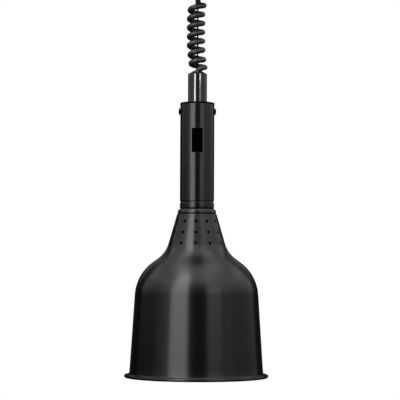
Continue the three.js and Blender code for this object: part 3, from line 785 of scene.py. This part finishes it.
def screw_head(name, radius, height, shank, length, slot_width):
    """A domed head with a cross recess on +Z, and its shank below."""
    dome = [(radius * math.cos(a), 0.1 * height + 0.9 * height * math.sin(a))
            for a in np.radians(np.linspace(0, 88, 12))]
    outline = [(0, -length), (shank - 0.3, -length), (shank, -length + 0.3), (shank, 0),
               (radius - 0.15, 0), (radius, 0.15), *dome, (0, height)]
    head = turned(name, outline, 64, closed=False)
    for along in (0, 1):
        arm = bpy.data.meshes.new("recess")
        work = bmesh.new()
        bmesh.ops.create_cube(work, size=1)
        work.to_mesh(arm)
        work.free()
        cutter = link("recess", arm)
        across = (radius * 1.1, slot_width) if along else (slot_width, radius * 1.1)
        moved(cutter, Matrix.Diagonal((*(Vector((*across, height * 1.3)) * MM), 1)))
        moved(cutter, placed(0, 0, height + height * 0.2))
        carved(head, cutter)
    return head


def screw_pair(name, seat, z, body, slot, nodes, **sizes):
    """The same screw through both sides of a round piece, by geometry nodes."""
    head = screw_head(name, **sizes)
    moved(head, Matrix.Rotation(math.pi / 2, 4, "Y"))
    shapes = Shapes(f"{name}_pair", Seat=seat * MM, Height=z * MM, Count=2)
    index = shapes.add("GeometryNodeInputIndex", {})
    angle = index * math.pi
    across = shapes.add("ShaderNodeMath", {"operation": "COSINE"}, angle) * shapes.given("Seat")
    where = shapes.add("ShaderNodeCombineXYZ", {}, across, 0.0, shapes.given("Height"))
    turn = shapes.add("ShaderNodeCombineXYZ", {}, Z=angle)
    line = shapes.add("GeometryNodeMeshLine", {}, Count=shapes.given("Count"))
    at = shapes.add("GeometryNodeSetPosition", {}, line, Position=where)
    both = shapes.add("GeometryNodeInstanceOnPoints", {}, at, Instance=shapes.given("Geometry"),
                      Rotation=turn)
    pair = shapes.run(head, both, FINISHES[slot])
    shaded(pair.data)
    dressed(pair, body, slot, *nodes)


# ------------------------------------------------------------------ neck


def cordway(low, high):
    """The keyhole that the cable and, in front of it, the cord pass through."""
    cable, cord = CABLE_RADIUS + 0.3, CORD_RADIUS + 0.3
    holes = [turned("cable_hole", [(0, low), (cable, low), (cable, high), (0, high)], 32, closed=False),
             turned("cord_hole", [(0, low), (cord, low), (cord, high), (0, high)], 48, closed=False)]
    moved(holes[1], placed(0, -CORD_ENTRY, 0))
    return holes + [box_cutter("slot", (-CABLE_RADIUS, -CORD_ENTRY, low), (CABLE_RADIUS, 0, high), 0.02)]


def stem():
    top, foot, roof = above_rim(STEM_TOP), above_rim(STEM_FOOT), 2.0
    crown = top - STEM_CROWN_DEPTH
    bend = rounded([(STEM_RADIUS, crown - 8), (STEM_RADIUS, crown), (STEM_CROWN_RADIUS, top), (0, top)],
                   1.6, 6)
    bend = [p for p in bend if p[0] > 2 and p[1] > crown - 3]
    outline = [(0, top - roof), (STEM_CROWN_RADIUS, top - roof), (STEM_BORE, crown - roof / 2),
               (STEM_BORE, foot + 0.3), (STEM_BORE + 0.3, foot), (STEM_RADIUS - 0.3, foot),
               (STEM_RADIUS, foot + 0.3), *bend, (0, top)]
    tube = carved(turned("stem_tube_polished", outline, 128, closed=False), *cordway(crown - 5, top + 1))
    dressed(tube, "lamp", "gloss_black", "stem_tube")


def neck_cap():
    low, high = above_rim(NECK_TOP) + 0.3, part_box("neck_cap")[1].z / MM
    foot, skirt, edge = above_rim(328), 19.7, 1.6
    bore = STEM_RADIUS + 0.3
    outline = rounded([(17.6, foot), (skirt, foot), (skirt, low), (CAP_RADIUS, low)], 0.3, 3)[1:-1]
    outline += arc((CAP_RADIUS - edge, high - edge), edge, 0, 90, 8)
    outline += [(bore + 0.2, high), (bore, high - 0.2), (bore, low), (17.6, low), (17.6, foot)]
    cap = carved(turned("neck_cap_turned", outline), side_hole(CAP_SCREW_HOLE, above_rim(CAP_SCREW_HEIGHT)))
    dressed(cap, "lamp", "matt_black", "neck_cap")


def side_hole(radius, z, name="side_hole"):
    hole = turned(name, [(0, -30), (radius, -30), (radius, 30), (0, 30)], 40, closed=False)
    return moved(hole, placed(0, 0, z) @ Matrix.Rotation(math.pi / 2, 4, "Y"))


def box_cutter(name, low, high, corner):
    """A block, in millimetres, with its four edges along Y rounded."""
    work = bmesh.new()
    bmesh.ops.create_cube(work, size=1)
    size = [(h - l) * MM for l, h in zip(low, high)]
    middle = [(h + l) / 2 * MM for l, h in zip(low, high)]
    bmesh.ops.scale(work, vec=size, verts=work.verts)
    bmesh.ops.translate(work, vec=middle, verts=work.verts)
    edges = [e for e in work.edges
             if abs((e.verts[0].co - e.verts[1].co).normalized().y) > 0.9]
    bmesh.ops.bevel(work, geom=edges, offset=corner * MM, segments=5, profile=0.5, affect="EDGES")
    mesh = bpy.data.meshes.new(name)
    work.to_mesh(mesh)
    work.free()
    return link(name, mesh)


def neck_tube():
    low, high = above_rim(NECK_FOOT), above_rim(NECK_TOP)
    outline = rounded([(20, low), (NECK_RADIUS, low), (NECK_RADIUS, high), (20, high)], 0.35, 3)
    # Rows along the wall keep its faces short where the window cuts them.
    rows = [(NECK_RADIUS, z) for z in np.linspace(low + 1, high - 1, 40)]
    split = max(i for i, (r, z) in enumerate(outline) if r > NECK_RADIUS - 0.01 and z < low + 1)
    outline = outline[:split + 1] + rows + outline[split + 1:]
    tube = turned("neck_tube_drawn", outline)
    fit = Vector((0.1, 0, 0.5))  # to each side of the switch and at its ends
    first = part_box("switch_housing")[0] / MM - fit
    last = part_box("switch_housing")[1] / MM + fit
    window = box_cutter("window", (first.x, -30, first.z), (last.x, -10, last.z), 0.3)
    tube = carved(tube, window, side_hole(CAP_SCREW_HOLE, above_rim(CAP_SCREW_HEIGHT)))
    dressed(tube, "lamp", "satin_black", "neck_tube")


def switch():
    for node, body, width in (("switch_housing", "lamp", 0.2), ("switch_rocker", "rocker", 0.25)):
        dressed(softened(node, width), body, "black_plastic", node)


# ------------------------------------------------------------------ shade


CONE_TOP = (24.5, 208.7)  # radius, and height above the rim
WAIST_REACH = 12.7  # of the rounding between the two, along each side
WAIST = (39.6, 156.4)  # where the shoulder's and the cone's straight sides would meet
CONE_FALL = (WAIST[0] - CONE_TOP[0]) / (CONE_TOP[1] - WAIST[1])
SHADE_HOLE = 19.0
VENT_TURN = -2.7  # degrees from a hole at the exact front


def shade_outline():
    """The rim's bead, then the outer side up to the hole in the top: (radius, height)."""
    foot, top, body_top = 85.4, 78.8, 103.1
    shoulder, sweep = 55.6, 54.0
    lean = math.degrees(math.atan2(foot - top, body_top))
    centre = (top - shoulder * math.cos(math.radians(lean)),
              body_top - shoulder * math.sin(math.radians(lean)))
    flare = rounded([(RIM_RADIUS, RIM_BEAD), (foot + 0.1, RIM_BEAD), (foot - 0.4, 8)], 1.6, 5)
    flare = [p for p in flare if p[0] < RIM_RADIUS - 3 and p[1] < 5.5]
    wall = [(foot + (top - foot) * t, body_top * t) for t in np.linspace(0.1, 0.97, 14)]
    bend = arc(centre, shoulder, lean, sweep, 30)
    waist, peak = Vector(WAIST), Vector(CONE_TOP)
    first = waist + (Vector(bend[-1]) - waist).normalized() * WAIST_REACH
    last = waist + (peak - waist).normalized() * WAIST_REACH
    rounding = [tuple(first * (1 - t) ** 2 + waist * 2 * t * (1 - t) + last * t ** 2)
                for t in np.linspace(0, 1, 16)]
    cone = [tuple(last.lerp(peak, t)) for t in np.linspace(0.06, 0.92, 24)]
    corner = (CONE_TOP[0] - (SHADE_TOP - CONE_TOP[1]) * CONE_FALL, SHADE_TOP)
    crown = rounded([cone[-1], corner, (SHADE_HOLE - 4, SHADE_TOP)], 3.6, 8)
    rim = arc((RIM_RADIUS - RIM_BEAD, 0), RIM_BEAD, -90, 90, 12)
    crown = [p for p in crown if p[0] > SHADE_HOLE and p[1] > cone[-1][1] + 0.01]
    return rim, flare + wall + bend + rounding + cone + crown + [(SHADE_HOLE, SHADE_TOP)]


def inset(outline, distance):
    """The same outline moved to its left, which is inwards."""
    points = np.array(outline)
    tangent = np.gradient(points, axis=0)
    tangent /= np.linalg.norm(tangent, axis=1)[:, None]
    normal = np.stack([-tangent[:, 1], tangent[:, 0]], axis=1)
    return [tuple(p) for p in points + distance * normal]


def length_of(outline):
    return sum(math.dist(a, b) for a, b in zip(outline, outline[1:])) * MM


def shade():
    rim, outer = shade_outline()
    inner = inset(outer[1:], SHEET)[::-1]
    inner = [(max(r, SHADE_HOLE), h) for r, h in inner]
    behind_bead = RIM_RADIUS - 2 * RIM_BEAD
    outline = rim + outer + inner + [(behind_bead - 0.2, 0.4), (behind_bead + 0.2, -1.1)]
    bell = turned("shade_spun", [(r, above_rim(h)) for r, h in outline], 192)
    material = spun_black("spun_black_lined", lined_from=length_of(rim + outer) + 0.0006)
    perforated = perforate(bell, material)
    shaded(perforated.data)
    dressed(perforated, "lamp", "satin_black", "shade", material=material)


def perforate(bell, material):
    """Rings of round holes through the cone, square to its wall, by geometry nodes."""
    rows = (168.4, 182.3, 196.3)
    count, radius = 12, 2.0
    shapes = Shapes("vent_rows", Holes=count, Hole_radius=radius * MM, Rows=len(rows),
                    Turn=math.radians(VENT_TURN),
                    First=above_rim(rows[0]) * MM, Step=(rows[2] - rows[0]) / 2 * MM,
                    Foot_radius=(CONE_TOP[0] + (CONE_TOP[1] - rows[0]) * CONE_FALL) * MM,
                    Fall=CONE_FALL)
    index = shapes.add("GeometryNodeInputIndex", {})
    row = shapes.add("ShaderNodeMath", {"operation": "FLOOR"}, index * (1 / count) + 0.001)
    angle = (index - row * count) * (2 * math.pi / count) + shapes.given("Turn")
    drop = row * shapes.given("Step")
    reach = shapes.given("Foot_radius") - drop * shapes.given("Fall")
    cosine = shapes.add("ShaderNodeMath", {"operation": "COSINE"}, angle)
    sine = shapes.add("ShaderNodeMath", {"operation": "SINE"}, angle)
    where = shapes.add("ShaderNodeCombineXYZ", {}, cosine * reach, sine * reach,
                       shapes.given("First") + drop)
    holes = shapes.add("GeometryNodeMeshLine", {}, Count=shapes.given("Holes") * shapes.given("Rows"))
    at = shapes.add("GeometryNodeSetPosition", {}, holes, Position=where)
    turn = shapes.add("ShaderNodeCombineXYZ", {}, 0.0, math.pi / 2 - math.atan(CONE_FALL), angle)
    pin = shapes.add("GeometryNodeMeshCylinder", {}, Vertices=24, Radius=shapes.given("Hole_radius"),
                     Depth=0.009)
    pins = shapes.add("GeometryNodeInstanceOnPoints", {}, at, Instance=pin, Rotation=turn)
    solid = shapes.add("GeometryNodeRealizeInstances", {}, pins)
    node = shapes.tree.nodes.new("GeometryNodeMeshBoolean")
    node.operation = "DIFFERENCE"
    node.solver = "EXACT"
    shapes.put(node.inputs["Mesh 1"], shapes.given("Geometry"))
    shapes.tree.links.new(solid.socket, node.inputs["Mesh 2"])
    return shapes.run(bell, Wire(shapes, node.outputs["Mesh"]), material)


def collar():
    groove_top = above_rim(NECK_FOOT) - 0.3
    band_top = groove_top - 2.0
    foot = above_rim(SHADE_TOP) + 0.3
    rolled = rounded([(18.9, foot), (NECK_RADIUS, foot), (NECK_RADIUS, band_top)], 3.0, 8)
    rolled = [p for p in rolled if 19.0 < p[0] and p[1] < foot + 4]
    outline = rounded([
        (17.1, above_rim(203)), (18.7, above_rim(203)), (18.7, foot), *rolled,
        (NECK_RADIUS, band_top), (20.9, band_top + 0.5),
        (20.9, groove_top), (19.7, groove_top), (19.7, above_rim(236.3)),
        (17.1, above_rim(236.3))], 0.5, 4)
    dressed(turned("shade_collar_turned", outline), "lamp", "satin_black", "shade_collar")
    dressed(softened("shade_nut", 0.5), "lamp", "zinc_steel", "shade_nut")


# ------------------------------------------------------------------ bulb and holder


def bulb():
    outer = [(0, 60)] + arc((0, 210), 150, -88.5, -71, 14) + arc((50.5, 90), 13, -66, 25, 18)
    flank = smooth_route([(r, h, 0) for r, h in [
        (62.3, 95.5), (60.6, 103), (56, 117), (49, 130.5), (41, 143), (31.5, 157), (24, 171),
        (17.4, 186), (15.6, 196), (12.1, 205.4)]], 5)
    outer += [(p[0], p[1]) for p in flank[1:]]
    inner = inset(outer[1:], 0.9)[::-1]
    outline = outer + inner + [(0, 60.9)]
    glass = turned("bulb_glass_blown", [(r, above_rim(h)) for r, h in outline], 128)
    dressed(glass, "lamp", "bulb_glass", "bulb_glass")


# ------------------------------------------------------------------ stage and lights


def floor():
    rim = [(FLOOR_RADIUS, FLOOR_Z - 12), (FLOOR_RADIUS, FLOOR_Z)]
    disc = turned("floor", rim + [(0, FLOOR_Z)], 96, closed=False)
    disc.data.materials.append(pale_floor())
    disc.visible_glossy = False
    disc.visible_diffuse = False


def softbox(name, azimuth, half_width, distance, low, high, radiance, only=None):
    """An area light facing the lamp. Azimuth is in degrees from -Y towards +X."""
    data = bpy.data.lights.new(name, "AREA")
    data.shape = "RECTANGLE"
    width, height = 2 * distance * math.tan(math.radians(half_width)), high - low
    data.size, data.size_y = width, height
    data.energy = radiance * math.pi * width * height
    light = bpy.data.objects.new(name, data)
    bpy.context.scene.collection.objects.link(light)
    turn = math.radians(azimuth)
    light.location = (distance * math.sin(turn), -distance * math.cos(turn), (low + high) / 2)
    light.rotation_euler = (math.pi / 2, 0, turn)
    light.visible_camera = False
    if only:
        light.light_linking.receiver_collection = only


def overhead(name, across, back, z, radiance):
    """A level area light over the lamp, facing down, between two X and two Y."""
    data = bpy.data.lights.new(name, "AREA")
    data.shape = "RECTANGLE"
    data.size, data.size_y = across[1] - across[0], back[1] - back[0]
    data.energy = radiance * math.pi * data.size * data.size_y
    light = bpy.data.objects.new(name, data)
    bpy.context.scene.collection.objects.link(light)
    light.location = (sum(across) / 2, sum(back) / 2, z)
    light.visible_camera = False


def lights():
    polished = bpy.data.collections.new("polished_pieces")
    polished.objects.link(bpy.data.objects["stem_tube_polished"])
    softbox("key", -31.5, 16.2, 1.8, -0.65, 3.0, 5.2)
    softbox("left_fill", -61, 14, 1.8, -0.9, 1.4, 0.26)
    softbox("left_near_fill", -53, 6, 1.79, -0.9, 1.4, 0.28)
    softbox("upper_left_fill", -88, 36, 2.1, -0.12, 1.8, 0.95)
    softbox("right_strip", 33, 13.5, 1.5, -0.22, 0.25, 3.3)
    softbox("right_fill", 40, 21, 2.2, -1.2, 1.6, 0.26)
    softbox("far_right_fill", 92, 34, 2.2, -1.2, 1.6, 0.28)
    softbox("upper_right_fill", 92, 42, 2.1, -0.12, 1.8, 0.9)
    softbox("back_fill", 180, 36, 2.4, 0.15, 1.9, 0.2)
    softbox("stem_left", -30, 5, 1.4, -0.10, 0.0, 60, polished)
    softbox("stem_right", 32, 5, 1.4, -0.033, 0.01, 60, polished)
    softbox("stem_right_low", 32, 3, 1.4, -0.1, -0.033, 8, polished)
    overhead("overhead", (-2.8, 2.8), (-2.2, 1.5), 1.2, 1.05)
    overhead("overhead_front", (-1.2, 1.2), (-2.2, 0.3), 1.195, 1.4)
    overhead("overhead_left", (-0.74, -0.42), (-1.6, 0.7), 1.19, 1.2)
    overhead("overhead_right", (0.42, 0.80), (-1.6, 0.7), 1.19, 0.7)


def world():
    """White to the eye, and a dim even grey to everything that reflects it."""
    backdrop = bpy.data.worlds.new("studio")
    backdrop.use_nodes = True
    tree = Tree(backdrop.node_tree)
    seen = tree.add("ShaderNodeLightPath", {}, output=0)
    node = backdrop.node_tree.nodes["Background"]
    tree.put(node.inputs["Color"], (1, 1, 1, 1))
    tree.put(node.inputs["Strength"], 0.02 + seen * 0.98)
    bpy.context.scene.world = backdrop
    bpy.context.scene.view_settings.view_transform = "Standard"


# ------------------------------------------------------------------ making


def main():
    make_camera()
    curly_cord()
    suspension_cable()
    canopy()
    ceiling_plate()
    swivel_guide()
    cord_grip()
    screw_pair("canopy_screws", CANOPY_RADIUS + 0.3, CANOPY_SCREW_Z, "ceiling_mount", "matt_black",
               ("canopy_screw_left", "canopy_screw_right"),
               radius=5, height=3, shank=2, length=7, slot_width=1.1)
    stem()
    neck_cap()
    screw_pair("cap_screws", NECK_RADIUS + 0.1, above_rim(CAP_SCREW_HEIGHT), "lamp", "matt_black",
               ("cap_screw_left", "cap_screw_right"),
               radius=4.5, height=2.2, shank=2, length=4.2, slot_width=1.0)
    neck_tube()
    switch()
    shade()
    collar()
    bulb()
    slots = {part["node"]: part["material_slot"] for part in frame["record"]["subparts"]}
    for name, node in frame["nodes"].items():
        for holder in node.material_slots:
            holder.material = FINISHES[slots[name]]
    floor()
    lights()
    world()


main()
